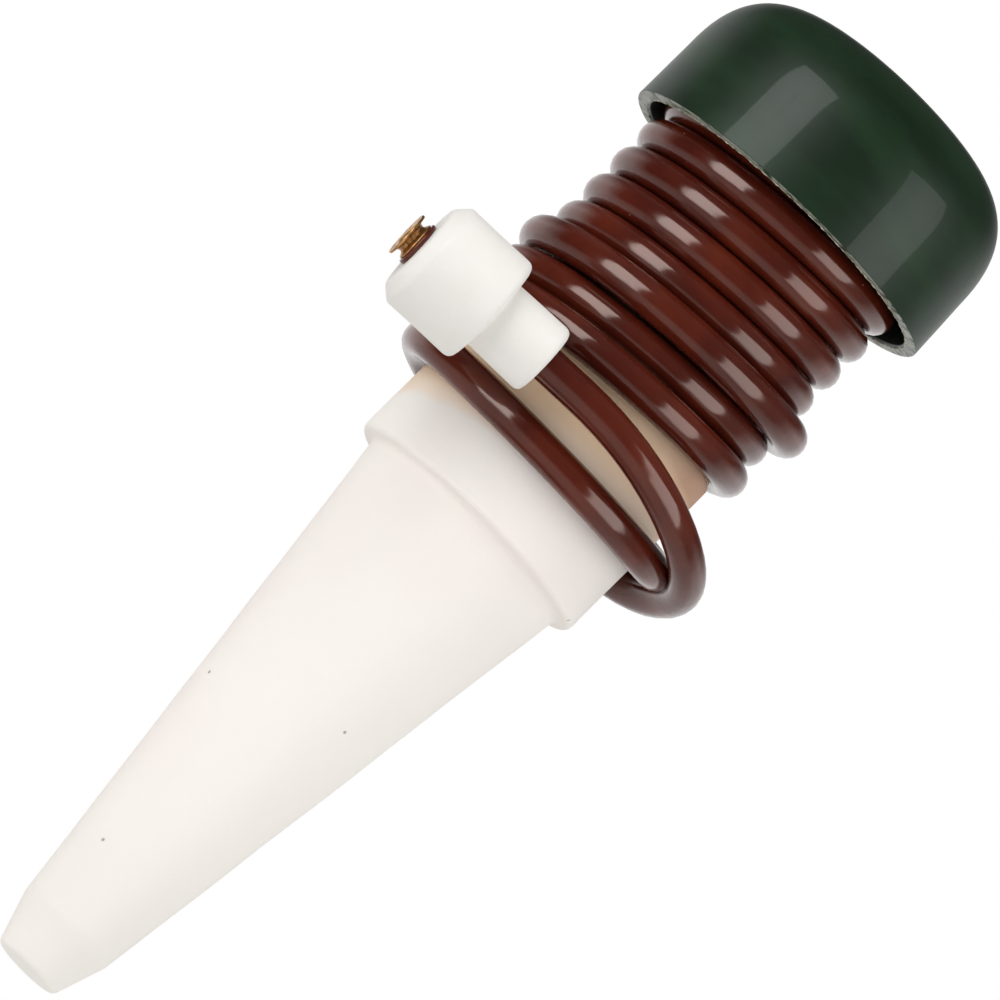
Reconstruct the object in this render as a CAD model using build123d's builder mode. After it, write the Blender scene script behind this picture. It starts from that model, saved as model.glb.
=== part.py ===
from build123d import *

import math
import os

# Self watering spike: a hollow fired clay cone is pushed into the soil, a screwed head closes it,
# and a wound hose draws water from a jar. All lengths are in millimetres.
# The origin is the centre of the collar's lower shoulder, where the soil ends, and +Z points up.

# Clay spike
collar_diameter = 32.4
collar_height = 22.6
collar_chamfer = 1.0
cone_diameter = 28.7
cone_length = 63.7
nose_diameter = 12.5
tip_diameter = 8.4
tip_length = 6.35
tip_chamfer = 0.8
clay_wall = 3.0
tip_wall = 7.0
mouth_diameter = 25.2
mouth_depth = 16.6

# Neck bushing, glued into the clay mouth
glue_gap = 0.1
bushing_bore = 22.0
bushing_flange_diameter = 31.6
bushing_flange_height = 0.6
bushing_chamfer = 0.8

# Sealing washer
washer_proud = 0.1
washer_height = 1.2
washer_clearance = 0.2

# Spool plug: the threaded plug, the barrel that the hose is wound on, and the hose port
thread_clearance = 0.3
plug_wall = 1.8
plug_length = 15.4
plug_chamfer = 0.8
barrel_diameter = 27.0
barrel_wall = 1.8
barrel_floor = 1.6
port_half_height = 3.3
port_length = 7.0
port_rounding = 2.8
port_skirt_clearance = 0.5
water_way_diameter = 2.4
water_way_inset = 6.0
water_way_end_gap = 0.2

# Cap shell
cap_diameter = 42.9
cap_rim_height = 49.5
cap_height = 20.7
cap_skirt_height = 9.2
cap_skirt_draft = 0.35
cap_corner_width = 14.1
cap_corner_facets = 6
cap_wall = 1.6
cap_land_height = 1.6
cap_land_width = 1.3
cap_spigot_wall = 1.4
cap_spigot_depth = 3.0
spigot_clearance = 0.1

# Hose
hose_diameter = 4.0
hose_sides = 5
hose_socket_clearance = 0.1
hose_winding_clearance = 0.2
hose_socket_depth = 4.0
hose_pitch = 4.44
hose_first_front_height = 52.32
hose_lip_diameter = 5.6
hose_lip_length = 0.55

# Hose grommet
grommet_diameter = 6.2
grommet_depth = 2.0

# Sinker
sinker_diameter = 14.1
sinker_length = 11.0
sinker_neck_diameter = 9.1
sinker_neck_length = 8.1
sinker_clearance = 0.3
sinker_chamfer = 1.5
sinker_edge = 0.8

# End eyelet
eyelet_bore = 1.6
eyelet_shank_diameter = 2.5
eyelet_shank_length = 5.0
eyelet_waist_diameter = 4.0
eyelet_waist_length = 1.15
eyelet_flange_diameter = 5.6
eyelet_flange_length = 0.45
eyelet_fit_gap = 0.05

os.makedirs("parts", exist_ok=True)

# Clay spike: outer form, water chamber and mouth
chamber_top = collar_height - mouth_depth
cone_taper_share = (nose_diameter - cone_diameter) / 2 / cone_length
chamber_nose_radius = nose_diameter / 2 - clay_wall
chamber_bottom = tip_wall - cone_length - tip_length
chamber_bottom_radius = chamber_nose_radius - (cone_length + chamber_bottom) * cone_taper_share
chamber_shoulder_radius = cone_diameter / 2 - clay_wall

with BuildPart() as ceramic_spike:
    with BuildSketch(Plane.XZ) as spike_profile:
        with BuildLine():
            Polyline(
                (0, -cone_length - tip_length),
                (tip_diameter / 2, -cone_length - tip_length),
                (nose_diameter / 2, -cone_length),
                (cone_diameter / 2, 0),
                (collar_diameter / 2, 0),
                (collar_diameter / 2, collar_height),
                (mouth_diameter / 2, collar_height),
                (mouth_diameter / 2, chamber_top),
                (chamber_shoulder_radius, chamber_top),
                (chamber_shoulder_radius, 0),
                (chamber_bottom_radius, chamber_bottom),
                (0, chamber_bottom),
                close=True,
            )
        make_face()
        tip_corner = (tip_diameter / 2, -cone_length - tip_length)
        chamfer(spike_profile.vertices().sort_by_distance(tip_corner)[0], tip_chamfer)
        collar_corner = (collar_diameter / 2, 0)
        chamfer(spike_profile.vertices().sort_by_distance(collar_corner)[0], collar_chamfer)
    revolve(axis=Axis.Z)
ceramic_spike.part.label = "ceramic_spike"
export_step(ceramic_spike.part, "parts/ceramic_spike.step")

# Neck bushing: a threaded sleeve whose flange lies on the clay rim
flange_top = collar_height + bushing_flange_height
with BuildPart() as neck_bushing:
    with BuildSketch(Plane.XZ) as bushing_profile:
        with BuildLine():
            Polyline(
                (bushing_bore / 2, chamber_top),
                (mouth_diameter / 2 - glue_gap, chamber_top),
                (mouth_diameter / 2 - glue_gap, collar_height),
                (bushing_flange_diameter / 2, collar_height),
                (bushing_flange_diameter / 2, flange_top),
                (bushing_bore / 2, flange_top),
                close=True,
            )
        make_face()
        lead_in = bushing_profile.vertices().sort_by_distance((bushing_bore / 2, flange_top))[0]
        chamfer(lead_in, bushing_chamfer / 2)
    revolve(axis=Axis.Z)
neck_bushing.part.label = "neck_bushing"
export_step(neck_bushing.part, "parts/neck_bushing.step")

# Sealing washer: carried round the plug, squeezed between the flange and the spool's shoulder
plug_diameter = bushing_bore - 2 * thread_clearance
washer_top = flange_top + washer_height
with BuildPart() as sealing_washer:
    with BuildSketch(Plane.XY.offset(flange_top)):
        Circle(barrel_diameter / 2 + washer_proud)
        Circle(plug_diameter / 2 + washer_clearance, mode=Mode.SUBTRACT)
    extrude(amount=washer_height)
sealing_washer.part.label = "sealing_washer"
export_step(sealing_washer.part, "parts/sealing_washer.step")

# Cap heights, measured from the collar's shoulder
cap_top = cap_rim_height + cap_height
skirt_top = cap_rim_height + cap_skirt_height
corner_height = cap_height - cap_skirt_height
skirt_top_radius = cap_diameter / 2 - cap_skirt_draft
flat_radius = skirt_top_radius - cap_corner_width
roof_height = cap_top - cap_wall
land_outer_radius = barrel_diameter / 2 + cap_land_width
land_share = (land_outer_radius - flat_radius) / (cap_corner_width - cap_wall)
land_roof = skirt_top + (corner_height - cap_wall) * math.sqrt(1 - land_share**2)
barrel_top = land_roof - cap_land_height

# Hose route. Turns go down clockwise, seen from above, a quarter turn at each station.
winding_radius = barrel_diameter / 2 + hose_winding_clearance + hose_diameter / 2
winding_tilt = 1.08
winding_tilt_angle = 56
start_angle = 90
hidden_quarters = 2
neat_quarters = 20

# How far a quarter stands out and up from the neat winding, in hose diameters:
# the first quarters come down from the port, and the last ones slip loose over the collar.
start_rise_shares = [0.42, 0.18, 0.04]
loose_shares = [
    (0.30, 0.00),
    (0.72, 0.12),
    (0.55, 0.145),
    (0.44, 0.065),
    (0.22, -0.05),
    (0.06, 0.30),
    (0.07, 0.20),
    (0.40, 0.06),
    (0.46, -0.06),
    (0.42, 0.33),
    (0.88, 0.22),
    (0.84, -0.02),
]


def winding_station(quarter):
    """The hose's centre at a quarter turn, counted down from the port."""
    angle = math.radians(start_angle - 90 * quarter)
    out_share, rise_share = 0, 0
    if quarter < len(start_rise_shares):
        rise_share = start_rise_shares[quarter]
    if quarter >= neat_quarters:
        out_share, rise_share = loose_shares[quarter - neat_quarters]
    radius = winding_radius + out_share * hose_diameter
    height = hose_first_front_height - hose_pitch * (quarter - hidden_quarters) / 4
    height += winding_tilt * (
        math.cos(angle - math.radians(winding_tilt_angle))
        + math.sin(math.radians(winding_tilt_angle))
    )
    height += rise_share * hose_diameter
    return Vector(radius * math.cos(angle), radius * math.sin(angle), height)


def biarc(start, start_tangent, end, end_tangent):
    """The point where two arcs between the stations meet, and the direction there."""
    span = end - start
    both = start_tangent + end_tangent
    bend = 2 * (1 - start_tangent.dot(end_tangent))
    along = span.dot(both)
    reach = (math.sqrt(along**2 + bend * span.dot(span)) - along) / bend
    first = start + start_tangent * reach
    second = end - end_tangent * reach
    return (first + second) * 0.5, (second - first).normalized()


quarter_count = neat_quarters + len(loose_shares)
stations = [winding_station(quarter) for quarter in range(quarter_count)]
headings = [
    (after - before).normalized() for before, after in zip(stations, stations[2:])
]
port_heading = Vector(1, 0, 0)
end_heading = Vector(0, 1, -0.12).normalized()
headings = [port_heading] + headings + [end_heading]
hose_start = stations[0] - port_heading * hose_socket_depth
winding_end = stations[-1] + end_heading * hose_diameter

with BuildPart() as hose_winding:
    with BuildLine() as winding_path:
        Line(hose_start, stations[0])
        for index in range(quarter_count - 1):
            meeting, heading = biarc(
                stations[index],
                headings[index],
                stations[index + 1],
                headings[index + 1],
            )
            TangentArc(stations[index], meeting, tangent=headings[index])
            TangentArc(meeting, stations[index + 1], tangent=heading)
        Line(stations[-1], winding_end)
    with BuildSketch(Plane(origin=hose_start, z_dir=port_heading)):
        RegularPolygon(hose_diameter / 2, hose_sides)
    sweep(clean=False)
hose_winding.part.label = "hose_winding"
export_step(hose_winding.part, "parts/hose_winding.step")

# Free end of the hose: round behind the collar, once round its front, a loose loop, then the sinker
sinker_near_end = Vector(-6.8, -22.8, 16.2)
sinker_heading = Vector(-1, -0.08, -0.05).normalized()
sinker_approach = 12.5
tail_first_run = 7.2
sinker_far_end = sinker_near_end + sinker_heading * (sinker_length + sinker_neck_length)
hose_end = sinker_far_end + sinker_heading * hose_lip_length
tail_points = [
    winding_end,
    winding_end + end_heading * tail_first_run,
    (-9.6, 19.6, 18.4),
    (5.8, 19.6, 16.4),
    (17.6, 9.8, 13.6),
    (19.2, -5.6, 10.8),
    (9.6, -17.7, 9.7),
    (-5.6, -19.3, 9.7),
    (-17.6, -9.5, 11.0),
    (-19.2, 5.6, 12.2),
    (-10.0, 17.8, 11.6),
    (5.2, 20.0, 10.3),
    (18.6, 14.4, 9.3),
    (25.0, -0.5, 11.2),
    (18.4, -15.8, 14.2),
    sinker_near_end - sinker_heading * sinker_approach,
    hose_end,
]

with BuildPart() as hose_tail:
    with BuildLine() as tail_path:
        corners = [Vector(point) for point in tail_points]
        runs = [after - before for before, after in zip(corners, corners[1:])]
        bend_radii = []
        for first_run, second_run in zip(runs, runs[1:]):
            half_turn = math.radians(first_run.get_angle(second_run)) / 2
            shorter_run = min(first_run.length, second_run.length)
            bend_radii.append(0.45 * shorter_run / math.tan(half_turn))
        FilletPolyline(*corners, radius=bend_radii)
    with BuildSketch(Plane(origin=winding_end, z_dir=end_heading)):
        RegularPolygon(hose_diameter / 2, hose_sides)
    sweep(clean=False)
    with BuildSketch(Plane(origin=sinker_far_end, z_dir=sinker_heading)):
        Circle(hose_lip_diameter / 2)
    extrude(amount=hose_lip_length)
    with BuildSketch(Plane(origin=hose_end, z_dir=-sinker_heading)):
        Circle(eyelet_shank_diameter / 2 + eyelet_fit_gap)
    extrude(amount=eyelet_shank_length, mode=Mode.SUBTRACT)
hose_tail.part.label = "hose_tail"
export_step(hose_tail.part, "parts/hose_tail.step")

# The hose measured on points along its centre line: its length, and the least gap to itself
point_step = hose_diameter / 4
winding_wire = winding_path.wires()[0]
tail_wire = tail_path.wires()[0]
winding_length = winding_wire.length
tail_length = tail_wire.length
line_points = []
for wire in (winding_wire, tail_wire):
    count = math.ceil(wire.length / point_step)
    line_points += [wire.position_at(index / count) for index in range(count)]
half_turn_points = round(math.pi * winding_radius / point_step)
least_gap = min(
    (line_points[first] - line_points[second]).length
    for first in range(len(line_points))
    for second in range(first + half_turn_points, len(line_points))
)
section_area = hose_sides / 2 * (hose_diameter / 2) ** 2 * math.sin(2 * math.pi / hose_sides)
print("hose length", round(winding_length + tail_length, 1), "mm")
print("winding", round(winding_length, 1), "mm, tail", round(tail_length, 1), "mm")
print("least gap of the hose to itself", round(least_gap - hose_diameter, 2), "mm")
print("tail bend radii", [round(radius, 1) for radius in bend_radii])
winding_share = hose_winding.part.volume / (section_area * winding_length)
tail_share = hose_tail.part.volume / (section_area * tail_length)
print("volume over section times length", round(winding_share, 3), round(tail_share, 3))

# Sinker: a bored weight threaded on the hose, stepped down where the hose goes in
sinker_plane = Plane(origin=sinker_far_end, z_dir=-sinker_heading)
with BuildPart() as sinker:
    with BuildSketch(sinker_plane):
        Circle(sinker_diameter / 2)
    extrude(amount=sinker_length)
    big_edges = sinker.edges().filter_by(GeomType.CIRCLE).sort_by(Axis.X)
    chamfer(big_edges[0], sinker_chamfer)
    chamfer(sinker.edges().filter_by(GeomType.CIRCLE).sort_by(Axis.X)[-1], sinker_edge)
    with BuildSketch(sinker_plane.offset(sinker_length)):
        Circle(sinker_neck_diameter / 2)
    extrude(amount=sinker_neck_length)
    chamfer(sinker.edges().filter_by(GeomType.CIRCLE).sort_by(Axis.X)[-1], sinker_edge)
    with BuildSketch(sinker_plane):
        Circle(hose_diameter / 2 + sinker_clearance)
    extrude(amount=sinker_length + sinker_neck_length, mode=Mode.SUBTRACT)
sinker.part.label = "sinker"
export_step(sinker.part, "parts/sinker.step")

# End eyelet: a turned spool whose shank is pushed into the hose, with the inlet bored through
eyelet_plane = Plane(origin=hose_end, z_dir=sinker_heading)
with BuildPart() as end_eyelet:
    with BuildSketch(eyelet_plane.offset(-eyelet_shank_length)):
        Circle(eyelet_shank_diameter / 2)
    extrude(amount=eyelet_shank_length)
    with BuildSketch(eyelet_plane):
        Circle(eyelet_waist_diameter / 2)
    extrude(amount=eyelet_waist_length)
    with BuildSketch(eyelet_plane.offset(eyelet_waist_length)):
        Circle(eyelet_flange_diameter / 2)
    extrude(amount=eyelet_flange_length)
    with BuildSketch(eyelet_plane.offset(-eyelet_shank_length)):
        Circle(eyelet_bore / 2)
    extrude(
        amount=eyelet_shank_length + eyelet_waist_length + eyelet_flange_length,
        mode=Mode.SUBTRACT,
    )
end_eyelet.part.label = "end_eyelet"
export_step(end_eyelet.part, "parts/end_eyelet.step")

# Spool plug: open barrel on a threaded plug, with the hose port on its upper side
plug_bottom = washer_top - plug_length
port_centre = stations[0]
port_plane = Plane(origin=port_centre, x_dir=(0, 1, 0), z_dir=-port_heading)
skirt_inner_radius = skirt_top_radius - cap_wall
port_outer_radius = skirt_inner_radius - port_skirt_clearance
with BuildPart() as spool_plug:
    with BuildSketch(port_plane) as port_section:
        RectangleRounded(2 * port_half_height, 2 * port_half_height, port_rounding)
    extrude(amount=port_length)
    with BuildSketch(Plane.XY.offset(port_centre.Z - 2 * port_half_height)):
        Circle(port_outer_radius)
        Circle(barrel_diameter / 2 - barrel_wall / 2, mode=Mode.SUBTRACT)
    extrude(amount=4 * port_half_height, mode=Mode.INTERSECT)
    with BuildSketch(Plane.XZ) as barrel_profile:
        with BuildLine():
            Polyline(
                (plug_diameter / 2 - plug_wall, plug_bottom),
                (plug_diameter / 2 - plug_chamfer, plug_bottom),
                (plug_diameter / 2, plug_bottom + plug_chamfer),
                (plug_diameter / 2, washer_top),
                (barrel_diameter / 2, washer_top),
                (barrel_diameter / 2, barrel_top),
                (barrel_diameter / 2 - barrel_wall, barrel_top),
                (barrel_diameter / 2 - barrel_wall, washer_top + barrel_floor),
                (plug_diameter / 2 - plug_wall, washer_top + barrel_floor),
                close=True,
            )
        make_face()
    revolve(axis=Axis.Z)
    with BuildSketch(port_plane):
        Circle(grommet_diameter / 2)
    extrude(amount=grommet_depth, mode=Mode.SUBTRACT)
    with BuildSketch(port_plane):
        Circle(hose_diameter / 2 + hose_socket_clearance)
    extrude(amount=hose_socket_depth, mode=Mode.SUBTRACT)
    with BuildSketch(port_plane):
        Circle(water_way_diameter / 2)
    extrude(amount=water_way_inset, mode=Mode.SUBTRACT)
    water_way_plane = Plane(
        origin=port_centre
        - port_heading * (water_way_inset - water_way_end_gap - water_way_diameter / 2),
        z_dir=(0, -1, 0),
    )
    with BuildSketch(water_way_plane):
        Circle(water_way_diameter / 2)
    extrude(amount=winding_radius - barrel_diameter / 2 + 2 * barrel_wall, mode=Mode.SUBTRACT)
spool_plug.part.label = "spool_plug"
export_step(spool_plug.part, "parts/spool_plug.step")

# Hose grommet: a rubber ring that seals the hose in its port
with BuildPart() as hose_grommet:
    with BuildSketch(port_plane):
        Circle(grommet_diameter / 2)
        Circle(hose_diameter / 2 + hose_socket_clearance / 2, mode=Mode.SUBTRACT)
    extrude(amount=grommet_depth)
hose_grommet.part.label = "hose_grommet"
export_step(hose_grommet.part, "parts/hose_grommet.step")

# Cap shell: a thin dome with a deep skirt, a land that the barrel meets and a spigot inside it
spigot_radius = barrel_diameter / 2 - barrel_wall - spigot_clearance


def corner_points(width, height, facets):
    """Points round a quarter of an ellipse, from the flat top out to the skirt."""
    turns = [math.pi / 2 * index / facets for index in range(facets + 1)]
    return [
        (flat_radius + width * math.sin(turn), skirt_top + height * math.cos(turn))
        for turn in turns
    ]


with BuildPart() as cap_shell:
    with BuildSketch(Plane.XZ):
        with BuildLine():
            Polyline(
                (0, cap_top),
                *corner_points(cap_corner_width, corner_height, cap_corner_facets),
                (cap_diameter / 2, cap_rim_height),
                (skirt_inner_radius, cap_rim_height),
                *reversed(
                    corner_points(
                        cap_corner_width - cap_wall,
                        corner_height - cap_wall,
                        cap_corner_facets,
                    )
                ),
                (0, roof_height),
                close=True,
            )
        make_face()
    revolve(axis=Axis.Z)
    with BuildSketch(Plane.XY.offset(barrel_top)):
        Circle(land_outer_radius)
        Circle(spigot_radius - cap_spigot_wall, mode=Mode.SUBTRACT)
    extrude(amount=roof_height - barrel_top + cap_wall / 2)
    with BuildSketch(Plane.XY.offset(barrel_top - cap_spigot_depth)):
        Circle(spigot_radius)
        Circle(spigot_radius - cap_spigot_wall, mode=Mode.SUBTRACT)
    extrude(amount=cap_spigot_depth)
cap_shell.part.label = "cap_shell"
export_step(cap_shell.part, "parts/cap_shell.step")
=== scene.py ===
"""A self watering spike: hollow clay cone, screwed head, wound hose, sinker and eyelet."""

import math

import bmesh
import bpy
from bpy.props import FloatProperty, FloatVectorProperty, IntProperty, PointerProperty
from mathutils import Matrix, Quaternion, Vector, noise


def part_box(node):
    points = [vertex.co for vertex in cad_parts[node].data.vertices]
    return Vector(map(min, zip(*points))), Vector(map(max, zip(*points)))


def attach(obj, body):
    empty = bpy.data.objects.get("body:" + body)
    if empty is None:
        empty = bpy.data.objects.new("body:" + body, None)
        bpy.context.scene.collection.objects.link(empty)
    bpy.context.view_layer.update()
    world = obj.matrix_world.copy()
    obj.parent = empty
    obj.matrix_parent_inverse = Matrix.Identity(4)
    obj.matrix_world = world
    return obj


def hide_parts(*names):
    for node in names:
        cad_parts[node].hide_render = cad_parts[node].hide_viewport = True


bl_info = {
    "name": "Self watering spike",
    "version": (1, 0, 0),
    "blender": (4, 5, 0),
    "location": "View3D > Sidebar > Watering spike",
    "description": "Dresses the watering spike's frame and sets up its studio",
    "category": "Add Mesh",
}

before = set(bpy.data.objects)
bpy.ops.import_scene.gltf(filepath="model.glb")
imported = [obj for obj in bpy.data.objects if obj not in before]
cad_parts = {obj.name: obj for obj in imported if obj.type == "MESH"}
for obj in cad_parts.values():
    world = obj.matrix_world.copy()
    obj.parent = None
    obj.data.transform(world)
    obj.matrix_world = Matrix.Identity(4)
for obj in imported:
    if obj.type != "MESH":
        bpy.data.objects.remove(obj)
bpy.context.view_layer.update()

MM = 0.001

# Segments of a large and of a small turned ring, and steps in a rounded corner
ROUND_SEGMENTS = 192
SMALL_SEGMENTS = 96
CORNER_STEPS = 6

# A ring under this radius, in millimetres, is one point on the axis
ON_AXIS = 1e-6

# Edges over this angle, in degrees, stay sharp
SHARP_ANGLE = 50

# Scale of the noise that a wandering surface follows, per millimetre
WANDER_SCALE = 0.11

# Heights that the pieces share, in millimetres, read from the frame's boxes
TIP_HEIGHT, COLLAR_TOP = [(corner / MM).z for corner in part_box("ceramic_spike")]
FLANGE_TOP = (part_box("neck_bushing")[1] / MM).z
WASHER_TOP = (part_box("sealing_washer")[1] / MM).z
RIM_HEIGHT, CAP_TOP = [(corner / MM).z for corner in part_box("cap_shell")]

# The cap sits a little askew: its rise per millimetre to the right, and its shift to the right
CAP_LEAN = 0.0209
CAP_SHIFT = 0.35


def millimetres(name, description, default):
    """A length property that is typed in millimetres."""
    return FloatProperty(name=name, description=description, default=default, min=0)


def colour(name, description, default):
    """A linear colour property."""
    return FloatVectorProperty(
        name=name,
        description=description,
        default=default,
        subtype="COLOR",
        size=3,
        min=0,
        max=1,
    )


class SpikeSizes(bpy.types.PropertyGroup):
    """Sizes of the rigid pieces, in millimetres."""

    collar_radius: millimetres("Collar radius", "Outside of the clay collar", 16.2)
    shoulder_radius: millimetres("Shoulder radius", "Top of the clay cone", 14.35)
    nose_radius: millimetres("Nose radius", "Where the cone turns into the tip", 6.25)
    tip_radius: millimetres("Tip radius", "Flat end of the tip", 4.2)
    nose_height: FloatProperty(
        name="Nose height", description="Height of the nose edge", default=-63.7
    )
    clay_wall: millimetres("Clay wall", "Thickness of the cone", 3.0)
    tip_floor: millimetres("Tip floor", "Solid clay under the chamber", 7.0)
    mouth_radius: millimetres("Mouth radius", "Clay mouth for the bushing", 12.6)
    mouth_floor: millimetres("Mouth floor", "Height of the ledge in the mouth", 6.0)
    cap_radius: millimetres("Cap radius", "Outside of the cap's rim", 21.35)
    skirt_top_radius: millimetres("Skirt top radius", "Where the dome starts", 21.1)
    skirt_height: millimetres("Skirt height", "Straight part of the cap", 7.7)
    dome_sag: millimetres("Dome sag", "How far the worn top lies under the frame's", 0.4)
    cap_wall: millimetres("Cap wall", "Thickness of the cap", 1.6)
    land_radius: millimetres("Land radius", "Ring in the cap that meets the barrel", 14.8)
    land_height: millimetres("Land height", "Underside of that ring", 64.84)
    spigot_radius: millimetres("Spigot radius", "Ring that sits inside the barrel", 11.6)
    spigot_wall: millimetres("Spigot wall", "Thickness of the spigot", 1.4)
    spigot_depth: millimetres("Spigot depth", "How far it goes into the barrel", 3.0)


class NeckSizes(bpy.types.PropertyGroup):
    """Sizes of the threaded neck, in millimetres."""

    bore_radius: millimetres("Bore radius", "Inside of the bushing", 11.0)
    plug_radius: millimetres("Plug radius", "Outside of the plug under its thread", 10.7)
    flange_radius: millimetres("Flange radius", "Edge of the bushing's flange", 15.8)
    washer_radius: millimetres("Washer radius", "Outside of the washer", 13.6)
    washer_bore: millimetres("Washer bore", "Inside of the washer", 10.9)
    ridge: millimetres("Ridge", "How far a thread stands out", 0.24)
    pitch: millimetres("Thread pitch", "Rise of the head in a turn", 3.0)


class HoseSizes(bpy.types.PropertyGroup):
    """Sizes of the hose and its winding, in millimetres."""

    diameter: millimetres("Diameter", "Outside of the hose", 4.28)
    winding_radius: millimetres("Winding radius", "Hose centre in a neat turn", 15.7)
    pitch: millimetres("Pitch", "Drop of a neat turn", 4.34)
    first_front: millimetres("First front", "Height of the first front crossing", 51.87)
    tilt: millimetres("Tilt", "How far a turn leans", 1.08)
    tilt_angle: FloatProperty(
        name="Tilt direction", description="Side that the turns lean up to", default=56
    )
    points_a_quarter: IntProperty(
        name="Points a quarter", description="Spline points in a quarter turn", default=3
    )


class SpikeColours(bpy.types.PropertyGroup):
    """Base colours of the finishes."""

    clay: colour("Clay", "Fired clay", (0.90, 0.862, 0.805))
    clay_blush: colour("Clay blush", "Pink zones in the clay", (0.90, 0.835, 0.79))
    # The clay stain colour is painted warm shade on the collar: the hose's brown bounced light and
    # its shadow.
    clay_painted_shade: colour("Clay stain", "Warm stain of the collar", (0.98, 0.72, 0.48))
    plastic: colour("Green plastic", "Cap and spool", (0.0036, 0.0150, 0.0046))
    vinyl: colour("Vinyl", "Hose", (0.062, 0.0085, 0.0045))
    sinker: colour("Sinker", "White ceramic weight", (0.81, 0.785, 0.745))
    brass: colour("Brass", "Eyelet", (0.60, 0.33, 0.13))
    resin: colour("Resin", "Neck bushing", (0.42, 0.235, 0.075))


class StudioSettings(bpy.types.PropertyGroup):
    """Camera and lamps."""

    frame_width: millimetres("Frame width", "Width that the camera sees", 112.0)
    lens: FloatProperty(name="Lens", description="Focal length in mm", default=1000)
    elevation: FloatProperty(name="Elevation", description="In degrees", default=-8.8)
    roll: FloatProperty(name="Roll", description="In degrees", default=45)
    left_power: FloatProperty(name="Left lamp", description="Watts", default=3.3)
    right_power: FloatProperty(name="Right lamp", description="Watts", default=2.6)
    left_gloss: FloatProperty(name="Left reflection", description="Watts", default=4.3)
    right_gloss: FloatProperty(name="Right reflection", description="Watts", default=2.9)
    world_strength: FloatProperty(name="Room light", description="World", default=0.46)


# Turned shapes


def rounded(corners):
    """Profile points from corners (radius, height, rounding), with an arc at each rounded one."""
    points = []
    for index, (x, z, rounding) in enumerate(corners):
        corner = Vector((x, z))
        if rounding == 0 or index in (0, len(corners) - 1):
            points.append(corner)
            continue
        before = Vector(corners[index - 1][:2]) - corner
        after = Vector(corners[index + 1][:2]) - corner
        half = before.angle(after) / 2
        reach = min(rounding / math.tan(half), before.length / 2, after.length / 2)
        start = corner + before.normalized() * reach
        end = corner + after.normalized() * reach
        for step in range(CORNER_STEPS + 1):
            share = step / CORNER_STEPS
            first = start.lerp(corner, share)
            second = corner.lerp(end, share)
            points.append(first.lerp(second, share))
    return [(point.x, point.y) for point in points]


def turned(name, profile, closed=True, wander=0.0, seed=0.0, segments=ROUND_SEGMENTS):
    """A mesh turned about the Z axis from (radius, height) points in millimetres.

    Wander is how far the surface strays from the true form, as on a hand-finished piece."""
    shape = bmesh.new()
    rings = []
    for radius, height in profile:
        if radius < ON_AXIS:
            rings.append([shape.verts.new((0, 0, height * MM))])
            continue
        ring = []
        for index in range(segments):
            angle = math.tau * index / segments
            direction = Vector((math.cos(angle), math.sin(angle), 0))
            place = direction * radius + Vector((0, 0, height))
            if wander:
                spot = place * WANDER_SCALE + Vector((seed,) * 3)
                place += direction * wander * noise.noise(spot)
            ring.append(shape.verts.new(place * MM))
        rings.append(ring)
    pairs = list(zip(rings, rings[1:]))
    if closed:
        pairs.append((rings[-1], rings[0]))
    for lower, upper in pairs:
        for index in range(segments):
            after = (index + 1) % segments
            corners = [lower[index % len(lower)], lower[after % len(lower)]]
            corners += [upper[after % len(upper)], upper[index % len(upper)]]
            corners = list(dict.fromkeys(corners))
            if len(corners) > 2:
                shape.faces.new(corners)
    bmesh.ops.recalc_face_normals(shape, faces=shape.faces)
    return finished_mesh(name, shape)


def finished_mesh(name, shape):
    """An object at the origin from a bmesh, smooth but for its sharp edges."""
    mesh = bpy.data.meshes.new(name)
    shape.to_mesh(mesh)
    shape.free()
    piece = bpy.data.objects.new(name, mesh)
    bpy.context.collection.objects.link(piece)
    mesh.shade_smooth()
    mesh.set_sharp_from_angle(angle=math.radians(SHARP_ANGLE))
    return piece


def laid_along(piece, origin, heading):
    """Moves a mesh turned about Z so that its Z axis runs along the heading from the origin."""
    turn = heading.to_track_quat("Z", "Y").to_matrix().to_4x4()
    piece.data.transform(Matrix.Translation(origin * MM) @ turn)


def fit_out(piece, material, body, slot, *nodes):
    """Gives a finished piece its material and its body, and hides the frame's nodes that it stands
    for. Its slot is not used.
    """
    piece.data.materials.clear()
    piece.data.materials.append(material)
    if nodes:
        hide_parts(*nodes)
    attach(piece, body)


# Materials


def feed(tree, slot, value):
    """Links a wire or another node's socket to an input, or sets the input to a plain value."""
    if isinstance(value, Wire):
        value = value.socket
    if isinstance(value, bpy.types.NodeSocket):
        tree.links.new(value, slot)
    else:
        slot.default_value = value


class Wire:
    """A number socket; arithmetic on it adds Math nodes to its tree."""

    def __init__(self, tree, socket):
        self.tree = tree
        self.socket = socket

    def math(self, operation, *values):
        """The result of a Math node on the values."""
        node = self.tree.nodes.new("ShaderNodeMath")
        node.operation = operation
        for slot, value in zip(node.inputs, values):
            feed(self.tree, slot, value)
        return Wire(self.tree, node.outputs[0])

    def __add__(self, other):
        return self.math("ADD", self, other)

    __radd__ = __add__

    def __sub__(self, other):
        return self.math("SUBTRACT", self, other)

    def __rsub__(self, other):
        return self.math("SUBTRACT", other, self)

    def __mul__(self, other):
        return self.math("MULTIPLY", self, other)

    __rmul__ = __mul__

    def __truediv__(self, other):
        return self.math("DIVIDE", self, other)

    def __pow__(self, other):
        return self.math("POWER", self, other)

    def clamped(self):
        """The number held between 0 and 1."""
        return self.math("MINIMUM", self.math("MAXIMUM", self, 0.0), 1.0)

    def ramp(self, low, high):
        """0 below low, 1 above high, and straight between them."""
        return ((self - low) / (high - low)).clamped()


# Sockets of a Mix node for colours, by number, because their names are used more than once
MIX_FACTOR, MIX_FIRST, MIX_SECOND, MIX_RESULT = 0, 6, 7, 2


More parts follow.
